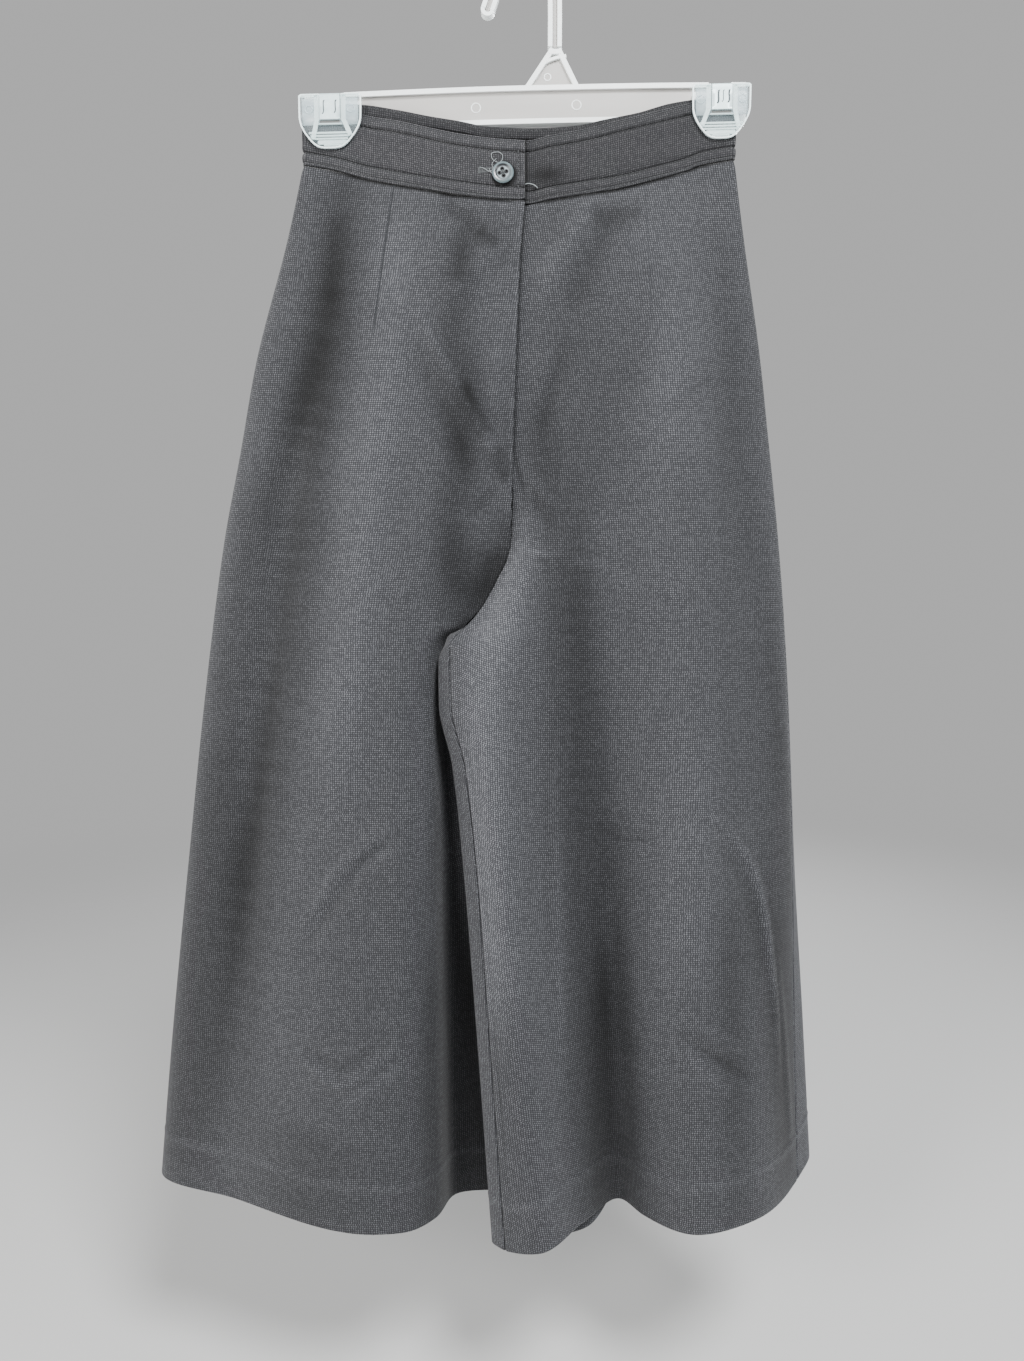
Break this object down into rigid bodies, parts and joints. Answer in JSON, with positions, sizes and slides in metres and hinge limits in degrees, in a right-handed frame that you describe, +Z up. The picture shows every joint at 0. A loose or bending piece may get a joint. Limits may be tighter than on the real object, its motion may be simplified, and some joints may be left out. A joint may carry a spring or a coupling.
{
  "type": "culottes on a clip hanger",
  "caption": "High-waisted wide-leg culottes in dark double knit, fly front with button and straight waistband, clipped to a clear moulded clip hanger.",
  "frame": {"origin": "top of the inside of the hanger's hook, where it rests on a rail", "axes": "+X to the wearer's left, -Y towards the front of the garment, +Z up"},
  "size_m": [0.5411, 0.0967, 0.9999],
  "materials": {
    "cloth": "matt double knit, charcoal with small light flecks",
    "zip_tape": "woven tape",
    "button": "satin, blue-grey",
    "clear_plastic": "clear moulded, slightly milky",
    "spring_steel": "bright strip"
  },
  "bodies": {
    "root": {"front_right": "cloth", "front_left": "cloth", "back_right": "cloth", "back_left": "cloth", "waistband": "cloth", "zip": "zip_tape", "zip_slider": "spring_steel", "button": "button", "hanger_frame": "clear_plastic", "hanger_hook": "clear_plastic", "clip_jaw_right": "clear_plastic", "clip_jaw_left": "clear_plastic", "clip_spring_right": "spring_steel", "clip_spring_left": "spring_steel"}
  },
  "joints": []
}
